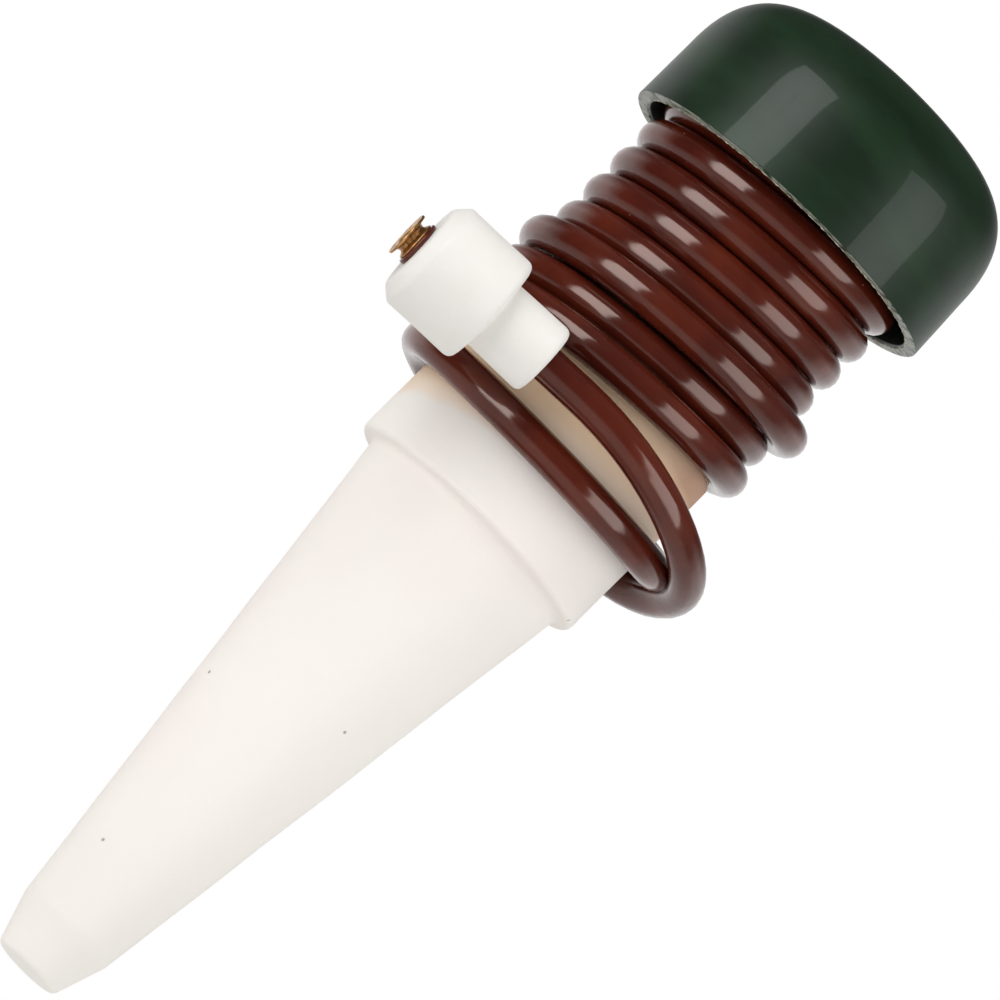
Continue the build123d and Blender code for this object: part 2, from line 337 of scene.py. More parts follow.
class Tree:
    """Adds nodes to a tree with their settings and inputs in one call."""

    def __init__(self, tree):
        self.tree = tree
        tree.nodes.clear()

    def node(self, kind, settings=None, inputs=None):
        """A new node of a kind, its settings made before its inputs are filled."""
        node = self.tree.nodes.new(kind)
        for name, value in (settings or {}).items():
            setattr(node, name, value)
        for name, value in (inputs or {}).items():
            feed(self.tree, node.inputs[name], value)
        return node

    def number(self, socket):
        """A socket that arithmetic works on."""
        return Wire(self.tree, socket)

    def parts(self, vector, axes):
        """The vector's parts along the named axes, as numbers."""
        split = self.node("ShaderNodeSeparateXYZ", None, {"Vector": vector})
        return [self.number(split.outputs[axis]) for axis in axes]

    def object_place(self):
        """The place on the piece, in metres."""
        return self.node("ShaderNodeTexCoord").outputs["Object"]

    def noise(self, scale, detail=3.0, roughness=0.5, stretch=None):
        """Noise at a scale in features per metre, stretched per axis where asked."""
        place = self.object_place()
        if stretch:
            place = self.node(
                "ShaderNodeMapping", None, {"Vector": place, "Scale": stretch}
            ).outputs[0]
        node = self.node(
            "ShaderNodeTexNoise",
            None,
            {"Vector": place, "Scale": scale, "Detail": detail, "Roughness": roughness},
        )
        return self.number(node.outputs[0])

    def spots(self, scale, size, share):
        """1 in sparse round spots, in that share of the cells."""
        settings = {"feature": "F1"}
        inputs = {"Vector": self.object_place(), "Scale": scale}
        cells = self.node("ShaderNodeTexVoronoi", settings, inputs)
        distance = self.number(cells.outputs["Distance"])
        split = self.node("ShaderNodeSeparateColor", None, {"Color": cells.outputs["Color"]})
        pick = self.number(split.outputs[0])
        chosen = pick.math("LESS_THAN", pick, share)
        return (1.0 - distance.ramp(size * 0.6, size)) * chosen

    def mix(self, factor, first, second):
        """Second colour over the first, by factor. Each is a socket or three numbers."""
        inputs = {MIX_FACTOR: factor}
        for slot, paint in ((MIX_FIRST, first), (MIX_SECOND, second)):
            inputs[slot] = paint if isinstance(paint, bpy.types.NodeSocket) else (*paint, 1)
        return self.node("ShaderNodeMix", {"data_type": "RGBA"}, inputs).outputs[MIX_RESULT]

    def bump(self, height, distance):
        """A normal from a height of 0 to 1 that stands for that many millimetres."""
        inputs = {"Strength": 1.0, "Distance": distance * MM, "Height": height}
        return self.node("ShaderNodeBump", None, inputs).outputs[0]

    def surface(self, **inputs):
        """A Principled BSDF wired to the output; names have underscores for spaces."""
        named = {name.replace("_", " "): value for name, value in inputs.items()}
        shader = self.node("ShaderNodeBsdfPrincipled", None, named)
        self.node("ShaderNodeOutputMaterial", None, {"Surface": shader.outputs[0]})


def new_finish(name):
    """A new material and its tree helper."""
    material = bpy.data.materials.new(name)
    material.use_nodes = True
    return material, Tree(material.node_tree)


# Where the collar's painted warm shade (the hose's brown bounced light and its shadow) and its
# darker painted shade under the hose on the right begin and are full, in metres
WARM_SHADE_SLANT = 0.2
WARM_SHADE_WANDER = 0.006
WARM_SHADE_EDGE = (0.0084, 0.0100)
WARM_SHADE_BODY = (0.0105, 0.0145)
DARK_SHADE_SIDE = (0.006, 0.0135)
DARK_SHADE_RIM = (0.0165, 0.0195)
DARK_SHADE_WANDER = 0.002


def cast_clay(colours):
    """Matte cast clay: faint blush and a few pinholes, with painted warm shade at the collar from
    the hose's bounced light and shadow, darker under the hose on the right.
    """
    material, tree = new_finish("cast_clay")
    blush = tree.noise(38, 2.0).ramp(0.42, 0.66)
    grain = tree.noise(5200, 4.0, 0.6)
    holes = tree.spots(210, 0.055, 0.4)
    height, across = tree.parts(tree.object_place(), "ZX")
    # Painted darker shade, with the hose's brown reflection, under the hose's last turn at the top
    # of the collar on the right.
    dark_painted_shade = across.ramp(*DARK_SHADE_SIDE) * (height + (blush - 0.5) * DARK_SHADE_WANDER).ramp(*DARK_SHADE_RIM)
    # Painted warm shade on the collar from the hose's brown bounced light and shadow, slanting up
    # to the right with streaky edges.
    streaks = tree.noise(95, 3.0, stretch=(0.5, 1.0, 2.2)) - 0.5
    slant = height - across * WARM_SHADE_SLANT + streaks * WARM_SHADE_WANDER
    stain_and_painted_shade = slant.ramp(*WARM_SHADE_EDGE) * 0.5 + slant.ramp(*WARM_SHADE_BODY) * 0.5
    body = tree.mix(blush, tuple(colours.clay), tuple(colours.clay_blush))
    # The painted warm shade, then the darker painted shade under the hose, laid over the clay's
    # own colour.
    with_painted_shade = tree.mix(stain_and_painted_shade, body, tuple(colours.clay_painted_shade))
    with_dark_painted_shade = tree.mix(dark_painted_shade * 0.9, with_painted_shade, (0.50, 0.29, 0.19))
    specked = tree.mix(holes * 0.75, with_dark_painted_shade, (0.30, 0.20, 0.14))
    relief = grain * 0.5 + tree.noise(900, 3.0) * 0.5 - holes
    tree.surface(
        Base_Color=specked,
        Roughness=0.72 + tree.noise(260, 3.0) * 0.16,
        Normal=tree.bump(relief, 0.035),
    )
    return material


# Heights over the cap's rim, in millimetres, between which the rim's underside, with its painted
# pale reflection, and the spool begin
RIM_UNDERSIDE_BAND = (0.02, 0.09)
SPOOL_BAND = (-0.3, -0.2)


def moulded_green(colours):
    """Glossy moulded plastic with soft flow waves and fine scuffs, and a painted pale reflection,
    broken up by noise, on the rim's underside.
    """
    material, tree = new_finish("moulded_green")
    flow = tree.noise(70, 3.0, stretch=(1.0, 1.0, 3.0))
    scuffs = tree.noise(900, 5.0, 0.65, stretch=(1.0, 1.0, 0.25)).ramp(0.60, 0.78)
    deep = tuple(colours.plastic)
    lit = tuple(min(1.0, part * 1.75) for part in deep)
    skin = tree.mix(flow.ramp(0.38, 0.68), deep, lit)
    height, across = tree.parts(tree.object_place(), "ZX")
    height -= across * CAP_LEAN
    rim_underside = 1.0 - height.ramp(*((RIM_HEIGHT + edge) * MM for edge in RIM_UNDERSIDE_BAND))
    above_spool = height.ramp(*((RIM_HEIGHT + edge) * MM for edge in SPOOL_BAND))
    # Painted pale reflection on the rim's underside, ragged with noise and kept off the spool.
    painted_rim_reflection = rim_underside * above_spool * tree.noise(700, 4.0, 0.6).ramp(0.36, 0.56)
    tree.surface(
        Base_Color=tree.mix(painted_rim_reflection * 0.85, skin, (0.42, 0.44, 0.37)),
        Roughness=0.42 + flow * 0.06 + scuffs * 0.12,
        Normal=tree.bump(flow + tree.noise(420, 3.0) * 0.5, 0.032),
        Specular_IOR_Level=0.2,
        Coat_Weight=0.15,
        Coat_Roughness=0.06,
    )
    return material


def pale_flash(colours):
    """Torn moulding flash, paler than the plastic that it comes from."""
    material, tree = new_finish("pale_flash")
    torn = tree.noise(1500, 3.0).ramp(0.38, 0.62)
    tree.surface(
        Base_Color=tree.mix(torn, (0.12, 0.17, 0.08), (0.62, 0.60, 0.48)),
        Roughness=0.5 + torn * 0.2,
        Normal=tree.bump(tree.noise(2600, 3.0), 0.04),
    )
    return material


def brown_vinyl(colours):
    """Glossy brown vinyl, a little clear, with fine draw lines and dust."""
    material, tree = new_finish("brown_vinyl")
    cloud = tree.noise(110, 3.0)
    dust = tree.spots(420, 0.05, 0.16)
    dark = tuple(colours.vinyl)
    rust = (dark[0] * 1.6, dark[1] * 1.7, dark[2] * 1.3)
    skin = tree.mix(cloud.ramp(0.38, 0.66), dark, rust)
    tree.surface(
        Base_Color=tree.mix(dust * 0.5, skin, (0.55, 0.45, 0.38)),
        Roughness=0.10 + tree.noise(800, 4.0) * 0.09,
        Normal=tree.bump(tree.noise(240, 2.0), 0.05),
        IOR=1.53,
        Specular_Tint=(1.0, 0.84, 0.76, 1.0),
    )
    return material


def white_ceramic(colours):
    """The sinker's dull white ceramic, with a faint cast grain."""
    material, tree = new_finish("white_ceramic")
    stain_and_painted_shade = tree.noise(210, 3.0).ramp(0.5, 0.78)
    tree.surface(
        Base_Color=tree.mix(stain_and_painted_shade * 0.5, tuple(colours.sinker), (0.77, 0.73, 0.68)),
        Roughness=0.55 + tree.noise(500, 3.0) * 0.2,
        Normal=tree.bump(tree.noise(1500, 4.0, 0.6), 0.05),
    )
    return material


def turned_brass(colours):
    """Brass with tool rings and tarnish."""
    material, tree = new_finish("turned_brass")
    rings = tree.noise(900, 3.0, stretch=(6.0, 1.0, 1.0))
    tarnish = tree.noise(1600, 4.0).ramp(0.45, 0.68)
    tree.surface(
        Base_Color=tree.mix(tarnish, tuple(colours.brass), (0.20, 0.105, 0.04)),
        Metallic=1.0,
        Roughness=0.28 + tarnish * 0.3,
        Normal=tree.bump(rings, 0.03),
    )
    return material


def amber_resin(colours):
    """Hard amber brown resin."""
    material, tree = new_finish("amber_resin")
    cloud = tree.noise(260, 3.0)
    tree.surface(
        Base_Color=tree.mix(cloud, tuple(colours.resin), (0.30, 0.15, 0.045)),
        Roughness=0.3 + cloud * 0.15,
        Normal=tree.bump(tree.noise(900, 3.0), 0.03),
    )
    return material


def soft_rubber(colours):
    """Dull dark rubber."""
    material, tree = new_finish("soft_rubber")
    bloom = tree.noise(300, 4.0)
    tree.surface(
        Base_Color=tree.mix(bloom, (0.02, 0.02, 0.02), (0.045, 0.043, 0.04)),
        Roughness=0.62 + bloom * 0.2,
        Normal=tree.bump(tree.noise(1500, 3.0), 0.04),
    )
    return material


FINISHES = {
    "cast_clay": cast_clay,
    "moulded_green": moulded_green,
    "pale_flash": pale_flash,
    "brown_vinyl": brown_vinyl,
    "white_ceramic": white_ceramic,
    "turned_brass": turned_brass,
    "amber_resin": amber_resin,
    "soft_rubber": soft_rubber,
}


def finish(name):
    """The named material, made when it is first asked for; the frame's own have other names."""
    if name not in bpy.data.materials:
        FINISHES[name](bpy.context.scene.spike_colours)
    return bpy.data.materials[name]


# Pieces


# The chamber's floor is wider than the inside of the nose edge by this, in millimetres, because
# it lies higher up the cone
FLOOR_SPREAD = 0.08


class SPIKE_OT_clay(bpy.types.Operator):
    """Clay spike, turned as one hollow cone with its collar and mouth"""

    bl_idname = "spike.clay"
    bl_label = "Clay spike"

    def execute(self, context):
        sizes = context.scene.spike_sizes
        chamber_radius = sizes.shoulder_radius - sizes.clay_wall
        floor_radius = sizes.nose_radius - sizes.clay_wall + FLOOR_SPREAD
        chamber_floor = TIP_HEIGHT + sizes.tip_floor
        corners = [
            (0, TIP_HEIGHT, 0),
            (sizes.tip_radius, TIP_HEIGHT, 0.9),
            (sizes.nose_radius, sizes.nose_height, 2.2),
            (sizes.shoulder_radius, 0, 0.9),
            (sizes.collar_radius, 0, 1.6),
            (sizes.collar_radius, COLLAR_TOP, 0.5),
            (sizes.mouth_radius, COLLAR_TOP, 0.3),
            (sizes.mouth_radius, sizes.mouth_floor, 0),
            (chamber_radius, sizes.mouth_floor, 0.2),
            (chamber_radius, 0, 0),
            (floor_radius, chamber_floor, 1.0),
            (0, chamber_floor, 0),
        ]
        profile = divided(rounded(corners), 2.0)
        piece = turned("clay_spike", profile, False, wander=0.09, seed=3.0)
        fit_out(piece, finish("cast_clay"), "spike", "fired_clay", "ceramic_spike")
        return {"FINISHED"}


def divided(profile, step):
    """The profile with its long straight stretches divided into steps of about that length."""
    points = [profile[0]]
    for before, after in zip(profile, profile[1:]):
        start, end = Vector(before), Vector(after)
        parts = max(1, round((end - start).length / step))
        points += [tuple(start.lerp(end, part / parts)) for part in range(1, parts + 1)]
    return points


def sized_tree(name, sizes):
    """A Geometry Nodes tree with a named input for each size, and its input sockets."""
    group = bpy.data.node_groups.new(name, "GeometryNodeTree")
    group.interface.new_socket("Geometry", in_out="OUTPUT", socket_type="NodeSocketGeometry")
    for label in sizes:
        group.interface.new_socket(label, in_out="INPUT", socket_type="NodeSocketFloat")
    tree = Tree(group)
    return tree, tree.node("NodeGroupInput").outputs


def grown(name, tree, geometry, material, sizes):
    """Ends a tree in realised instances and its material, runs it with its sizes, and keeps
    its result as a plain mesh piece."""
    smooth = tree.node("GeometryNodeSetShadeSmooth", None, {"Geometry": geometry})
    real = tree.node("GeometryNodeRealizeInstances", None, {"Geometry": smooth.outputs[0]})
    inputs = {"Geometry": real.outputs[0], "Material": material}
    dressed = tree.node("GeometryNodeSetMaterial", None, inputs)
    tree.node("NodeGroupOutput", None, {"Geometry": dressed.outputs[0]})
    carrier = bpy.data.objects.new(name + "_tree", bpy.data.meshes.new(name + "_tree"))
    bpy.context.collection.objects.link(carrier)
    modifier = carrier.modifiers.new(name, "NODES")
    modifier.node_group = tree.tree
    for item in tree.tree.interface.items_tree:
        if item.in_out == "INPUT":
            modifier[item.identifier] = sizes[item.name]
    graph = bpy.context.evaluated_depsgraph_get()
    mesh = bpy.data.meshes.new_from_object(carrier.evaluated_get(graph), depsgraph=graph)
    mesh.name = name
    bpy.data.objects.remove(carrier)
    piece = bpy.data.objects.new(name, mesh)
    bpy.context.collection.objects.link(piece)
    return piece


def ridge(name, radius, height, start, turns, phase, pitch, material):
    """A helical thread ridge, in millimetres and radians."""
    sizes = {
        "Radius": radius * MM,
        "Ridge": height * MM,
        "Rise": turns * pitch * MM,
        "Turns": turns,
        "Start": start * MM,
        "Phase": phase,
    }
    tree, given = sized_tree(name, sizes)
    inputs = {
        "Resolution": 72,
        "Rotations": given["Turns"],
        "Start Radius": given["Radius"],
        "End Radius": given["Radius"],
        "Height": given["Rise"],
    }
    spiral = tree.node("GeometryNodeCurveSpiral", None, inputs)
    inputs = {
        "Geometry": spiral.outputs[0],
        "Translation": tree.node("ShaderNodeCombineXYZ", None, {"Z": given["Start"]}).outputs[0],
        "Rotation": tree.node("ShaderNodeCombineXYZ", None, {"Z": given["Phase"]}).outputs[0],
    }
    place = tree.node("GeometryNodeTransform", None, inputs)
    inputs = {"Resolution": 8, "Radius": given["Ridge"]}
    section = tree.node("GeometryNodeCurvePrimitiveCircle", None, inputs)
    inputs = {
        "Curve": place.outputs[0],
        "Profile Curve": section.outputs[0],
        "Fill Caps": True,
    }
    body = tree.node("GeometryNodeCurveToMesh", None, inputs)
    return grown(name, tree, body.outputs[0], material, sizes)


# Thickness of the glue round the bushing, in millimetres
GLUE_GAP = 0.1

# The threads start this far over the mouth's floor, and their ridges lie half a pitch apart
BUSHING_THREAD_START = 0.6
BUSHING_TURNS = 5
BUSHING_PHASE = math.pi / 3
PLUG_THREAD_START = 4.6
PLUG_TURNS = 4


class SPIKE_OT_neck(bpy.types.Operator):
    """Neck bushing with its flange and thread, and the sealing washer"""

    bl_idname = "spike.neck"
    bl_label = "Neck"

    def execute(self, context):
        neck = context.scene.neck_sizes
        sizes = context.scene.spike_sizes
        sleeve = sizes.mouth_radius - GLUE_GAP
        corners = [
            (neck.bore_radius, sizes.mouth_floor, 0),
            (sleeve, sizes.mouth_floor, 0.3),
            (sleeve, COLLAR_TOP, 0),
            (neck.flange_radius, COLLAR_TOP, 0.2),
            (neck.flange_radius, FLANGE_TOP, 0.28),
            (neck.bore_radius, FLANGE_TOP, 0.4),
        ]
        bushing = turned("bushing", rounded(corners), wander=0.03, seed=5.0)
        resin = finish("amber_resin")
        fit_out(bushing, resin, "spike", "bushing_resin", "neck_bushing")
        low = sizes.mouth_floor + BUSHING_THREAD_START
        groove = ridge(
            "bushing_thread",
            neck.bore_radius,
            neck.ridge,
            low,
            BUSHING_TURNS,
            BUSHING_PHASE,
            neck.pitch,
            resin,
        )
        fit_out(groove, resin, "spike", "bushing_resin")
        corners = [
            (neck.washer_bore, FLANGE_TOP, 0),
            (neck.washer_radius, FLANGE_TOP, 0.4),
            (neck.washer_radius, WASHER_TOP, 0.4),
            (neck.washer_bore, WASHER_TOP, 0),
        ]
        washer = turned("washer", rounded(corners), wander=0.03, seed=6.0)
        fit_out(washer, finish("soft_rubber"), "seal", "washer_rubber", "sealing_washer")
        return {"FINISHED"}


class SPIKE_OT_spool(bpy.types.Operator):
    """Spool plug with its thread, and the hose grommet"""

    bl_idname = "spike.spool"
    bl_label = "Spool"

    def execute(self, context):
        neck = context.scene.neck_sizes
        green = finish("moulded_green")
        fit_out(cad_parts["spool_plug"], green, "head", "green_plastic")
        fit_out(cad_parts["hose_grommet"], finish("soft_rubber"), "head", "washer_rubber")
        low = context.scene.spike_sizes.mouth_floor + PLUG_THREAD_START
        thread = ridge(
            "plug_thread", neck.plug_radius, neck.ridge, low, PLUG_TURNS, 0.0, neck.pitch, green
        )
        fit_out(thread, green, "head", "green_plastic")
        return {"FINISHED"}


# Exponents of the dome's outline, a flattened ellipse
DOME_SPREAD = 4.2
DOME_FULLNESS = 2.5

# How far the flash stands out from the cap's inside and over its rim, in millimetres
FLASH_INSET = 0.3
FLASH_RISE = 0.04

# Thickness of the land at its edge, and how far the spigot stays under the dome, in millimetres
LAND_EDGE = 2.6
ROOF_GAP = 0.4


def askew(height):
    """The turn and shift of the cap as it sits, about the axis at a height in millimetres."""
    middle = Matrix.Translation(Vector((0, 0, height * MM)))
    lean = Matrix.Rotation(-math.atan(CAP_LEAN), 4, "Y")
    return Matrix.Translation(Vector((CAP_SHIFT * MM, 0, 0))) @ middle @ lean @ middle.inverted()


class SPIKE_OT_cap(bpy.types.Operator):
    """Cap shell with its dome and skirt, and the land and spigot inside it"""

    bl_idname = "spike.cap"
    bl_label = "Cap"

    def execute(self, context):
        sizes = context.scene.spike_sizes
        skirt_top = RIM_HEIGHT + sizes.skirt_height
        top = CAP_TOP - sizes.dome_sag
        outer_radius = sizes.skirt_top_radius
        inner_radius = outer_radius - sizes.cap_wall
        outer = dome(outer_radius, skirt_top, top)
        inner = dome(inner_radius, skirt_top, top - sizes.cap_wall)
        rim = [
            (outer_radius, skirt_top, 0),
            (sizes.cap_radius, RIM_HEIGHT, 0.25),
            (inner_radius, RIM_HEIGHT, 0.35),
            (inner_radius, skirt_top, 0),
        ]
        green, pale = finish("moulded_green"), finish("pale_flash")
        profile = outer[:-1] + rounded(rim) + inner[::-1][1:]
        cap = turned("cap", divided(profile, 2.5), False, wander=0.05, seed=8.0)
        flash = rim_flash(inner_radius + FLASH_INSET, RIM_HEIGHT + FLASH_RISE, pale)
        for piece in (cap, flash):
            piece.data.transform(askew(skirt_top))
        fit_out(cap, green, "head", "green_plastic", "cap_shell")
        fit_out(flash, pale, "head", "green_plastic")
        spigot_bore = sizes.spigot_radius - sizes.spigot_wall
        low = sizes.land_height - sizes.spigot_depth
        roof = top - sizes.cap_wall - ROOF_GAP
        corners = [
            (spigot_bore, low, 0.2),
            (sizes.spigot_radius, low, 0.4),
            (sizes.spigot_radius, sizes.land_height, 0),
            (sizes.land_radius, sizes.land_height, 0.2),
            (sizes.land_radius, sizes.land_height + LAND_EDGE, 0),
            (spigot_bore, roof, 0),
        ]
        spigot = turned("cap_spigot", rounded(corners), wander=0.01, seed=9.0)
        fit_out(spigot, green, "head", "green_plastic")
        return {"FINISHED"}


def rim_flash(radius, height, material):
    """The ragged moulding flash round the rim's inner edge."""
    sizes = {"Radius": radius * MM, "Height": height * MM, "Burr": 0.11 * MM, "Ragged": 1400.0}
    tree, given = sized_tree("rim_flash", sizes)
    inputs = {"Resolution": 900, "Radius": given["Radius"]}
    ring = tree.node("GeometryNodeCurvePrimitiveCircle", None, inputs)
    shift = tree.node("ShaderNodeCombineXYZ", None, {"Z": given["Height"]})
    inputs = {"Geometry": ring.outputs[0], "Translation": shift.outputs[0]}
    place = tree.node("GeometryNodeTransform", None, inputs)
    spot = tree.node("GeometryNodeInputPosition").outputs[0]
    rough = tree.node("ShaderNodeTexNoise", None, {"Vector": spot, "Scale": given["Ragged"]})
    inputs = {
        "Value": rough.outputs[0],
        "From Min": 0.35,
        "From Max": 0.65,
        "To Min": 0.5,
        "To Max": 1.6,
    }
    span = tree.node("ShaderNodeMapRange", None, inputs)
    inputs = {"Resolution": 6, "Radius": given["Burr"]}
    section = tree.node("GeometryNodeCurvePrimitiveCircle", None, inputs)
    inputs = {
        "Curve": place.outputs[0],
        "Profile Curve": section.outputs[0],
        "Scale": span.outputs[0],
    }
    body = tree.node("GeometryNodeCurveToMesh", None, inputs)
    return grown("rim_flash", tree, body.outputs[0], material, sizes)


def dome(radius, base, top, steps=32):
    """Points of the cap's flattened dome from the middle of its top down to the skirt."""
    shares = [math.sin(math.pi / 2 * step / steps) for step in range(steps + 1)]
    heights = [(1 - min(1, share) ** DOME_SPREAD) ** (1 / DOME_FULLNESS) for share in shares]
    return [(radius * share, base + (top - base) * rise) for share, rise in zip(shares, heights)]


# Hose

# Quarter turns from the port to the first front crossing, and to the end of the neat turns
QUARTERS_TO_FRONT = 2
NEAT_QUARTERS = 20

# Drop of a loose turn, in millimetres
LOOSE_PITCH = 4.44

# How far each quarter at the start stands up from the neat winding, and each loose one out and up,
# in shares of this length in millimetres, the frame's hose diameter
SHARE_LENGTH = 4.0
START_RISE_SHARES = [0.545, 0.30, 0.0]
LOOSE_SHARES = [
    (0.30, 0.00),
    (0.72, 0.12),
    (0.55, 0.145),
    (0.44, 0.065),
    (0.22, -0.05),
    (0.06, 0.30),
    (0.07, 0.20),
    (0.40, 0.06),
    (0.46, -0.06),
    (0.26, 0.37),
    (0.88, 0.22),
    (0.84, -0.02),
]

# The sinker's end nearest the bend, its heading along the hose, its length, and the length of its
# neck, in millimetres
SINKER_NEAR_END = Vector((-6.8, -22.8, 16.2))
SINKER_HEADING = Vector((-1, -0.08, -0.05)).normalized()
SINKER_LENGTH = 19.1
SINKER_NECK = 8.1

# The hose ends in a flared lip that stands out of the sinker
LIP_LENGTH = 0.55
HOSE_END = SINKER_NEAR_END + SINKER_HEADING * (SINKER_LENGTH + LIP_LENGTH)

# Runs of the hose, in millimetres: in the port, off the winding's end, and from the last corner
# to the sinker and along the straight
SOCKET_DEPTH = 4.0
END_HEADING = Vector((0, 1, -0.12)).normalized()
TAIL_FIRST_RUN = 7.2
SINKER_APPROACH = 12.5
STRAIGHT_RUN = 14.2

# The loose end's points, once round the collar and out into the loop at the right
TAIL_POINTS = [
    (-9.6, 19.6, 18.4),
    (5.8, 19.6, 16.4),
    (17.6, 9.8, 13.6),
    (19.2, -5.6, 10.8),
    (9.6, -17.7, 9.7),
    (-5.6, -19.3, 9.7),
    (-17.6, -9.5, 11.0),
    (-19.2, 5.6, 12.2),
    (-10.0, 17.8, 11.6),
    (5.2, 20.0, 10.3),
    (18.2, 14.4, 10.0),
    (23.6, -0.5, 12.0),
    (18.2, -15.8, 14.4),
]


def quarter_shares(quarter):
    """Out and up shares at a whole quarter."""
    out, rise = 0.0, 0.0
    if quarter < len(START_RISE_SHARES):
        rise = START_RISE_SHARES[quarter]
    if quarter >= NEAT_QUARTERS:
        out, rise = LOOSE_SHARES[min(quarter - NEAT_QUARTERS, len(LOOSE_SHARES) - 1)]
    return Vector((out, rise))


def winding_point(hose, turn, radius_scale=1.0):
    """The hose's centre at a number of quarter turns down from the port, in millimetres."""
    whole = math.floor(turn)
    part = turn - whole
    ease = part * part * (3 - 2 * part)
    out, rise = quarter_shares(whole).lerp(quarter_shares(whole + 1), ease)
    angle = math.radians(90 - 90 * turn)
    lean = math.radians(hose.tilt_angle)
    radius = (hose.winding_radius + out * SHARE_LENGTH) * radius_scale
    neat = min(turn, NEAT_QUARTERS)
    height = hose.first_front - hose.pitch * (neat - QUARTERS_TO_FRONT) / 4
    height -= LOOSE_PITCH * (turn - neat) / 4
    height += hose.tilt * (math.cos(angle - lean) + math.sin(lean)) + rise * SHARE_LENGTH
    return Vector((radius * math.cos(angle), radius * math.sin(angle), height))


def hose_route(hose):
    """The spline's points: socket, winding turns, loose tail, then straight through the sinker."""
    last_quarter = NEAT_QUARTERS + len(LOOSE_SHARES) - 1
    step = 1 / hose.points_a_quarter
    spread = 1 / math.cos(math.radians(90 * step / 2))
    port = winding_point(hose, 0)
    turns = [step * (index + 0.5) for index in range(last_quarter * hose.points_a_quarter)]
    coil = [winding_point(hose, turn, spread) for turn in turns]
    winding_end = winding_point(hose, last_quarter) + END_HEADING * SHARE_LENGTH
    corner = SINKER_NEAR_END - SINKER_HEADING * SINKER_APPROACH
    tail = [winding_end, winding_end + END_HEADING * TAIL_FIRST_RUN]
    tail += [Vector(point) for point in TAIL_POINTS]
    tail += [corner, corner + SINKER_HEADING * STRAIGHT_RUN, HOSE_END]
    return [port - Vector((SOCKET_DEPTH, 0, 0))] + coil + tail


class SPIKE_OT_hose(bpy.types.Operator):
    """Hose: wound on the spool, slipped loose over the collar, and led through the sinker"""

    bl_idname = "spike.hose"
    bl_label = "Hose"

    def execute(self, context):
        hose = context.scene.hose_sizes
        curve = bpy.data.curves.new("hose", "CURVE")
        curve.dimensions = "3D"
        spline = curve.splines.new("NURBS")
        route = hose_route(hose)
        spline.points.add(len(route) - 1)
        for point, place in zip(spline.points, route):
            point.co = (*(place * MM), 1)
        spline.order_u = 3
        spline.use_endpoint_u = True
        spline.resolution_u = 6
        curve.bevel_depth = hose.diameter / 2 * MM
        curve.bevel_resolution = 7
        curve.use_fill_caps = True
        piece = bpy.data.objects.new("hose", curve)
        context.collection.objects.link(piece)
        fit_out(piece, finish("brown_vinyl"), "head", "hose_vinyl", "hose_winding", "hose_tail")
        return {"FINISHED"}


# Profiles of the end fittings: radius, distance along the hose and rounding
SINKER_CORNERS = [
    (2.35, 0, 0),
    (4.5, 0, 1.1),
    (4.4, SINKER_NECK, 0.5),
    (7.05, SINKER_NECK, 1.1),
    (7.05, SINKER_LENGTH - 1.5, 0.9),
    (5.6, SINKER_LENGTH, 1.0),
    (2.35, SINKER_LENGTH, 0),
]
LIP_CORNERS = [(1.3, -0.54, 0), (2.8, -0.54, 0.2), (2.8, 0.02, 0.2), (1.3, 0.02, 0)]
EYELET_CORNERS = [
    (0.8, -5.0, 0),
    (1.25, -5.0, 0),
    (1.25, 0.0, 0),
    (2.45, 0.02, 0.1),
    (2.45, 0.22, 0.1),
    (1.75, 0.6, 0.5),
    (2.0, 1.15, 0.3),
    (2.8, 1.25, 0.1),
    (2.8, 1.58, 0.15),
    (1.5, 1.44, 0.4),
    (0.8, 1.0, 0),
]


class SPIKE_OT_end_fittings(bpy.types.Operator):
    """Sinker, the hose's flared lip and the inlet eyelet on the hose's end"""

    bl_idname = "spike.end_fittings"
    bl_label = "Sinker and eyelet"

    def execute(self, context):
        profile = divided(rounded(SINKER_CORNERS), 1.5)
        sinker = turned("sinker_weight", profile, wander=0.12, seed=11.0)
        laid_along(sinker, SINKER_NEAR_END, SINKER_HEADING)
        fit_out(sinker, finish("white_ceramic"), "weight", "sinker_glaze", "sinker")
        profile = rounded(LIP_CORNERS)
        lip = turned("hose_lip", profile, wander=0.05, seed=12.0, segments=SMALL_SEGMENTS)
        laid_along(lip, HOSE_END, SINKER_HEADING)
        fit_out(lip, finish("brown_vinyl"), "head", "hose_vinyl")
        profile = rounded(EYELET_CORNERS)
        eyelet = turned("eyelet", profile, wander=0.05, seed=13.0, segments=SMALL_SEGMENTS)
        laid_along(eyelet, HOSE_END, SINKER_HEADING)
        fit_out(eyelet, finish("turned_brass"), "head", "eyelet_brass", "end_eyelet")
        hose = context.scene.hose_sizes
        hose_route(hose)[0] * MM
        return {"FINISHED"}


# Studio


# Softboxes: name, azimuth and elevation in degrees, width and height in metres, the setting that
# holds the power, whether the lamp is for reflections alone, and its distance in metres. The
# reflections' lamps stand a little nearer, because lamps in one place hide one another.
LAMPS = [
    ("left_light", -46, 20, (0.34, 1.20), "left_power", False, 0.60),
    ("right_light", 61, 20, (0.41, 1.20), "right_power", False, 0.60),
    ("left_reflection", -46, 5, (0.33, 0.66), "left_gloss", True, 0.57),
    ("right_reflection", 58, 5, (0.37, 0.66), "right_gloss", True, 0.57),
]
LAMP_TARGET = Vector((0, 0, 0.01))

# The point at the middle of the picture, the camera's sensor in millimetres, and the distance in
# metres at which it begins to see
CAMERA_TARGET = Vector((0.45, 0, 5.2)) * MM
SENSOR_WIDTH = 36
CLIP_START = 0.01

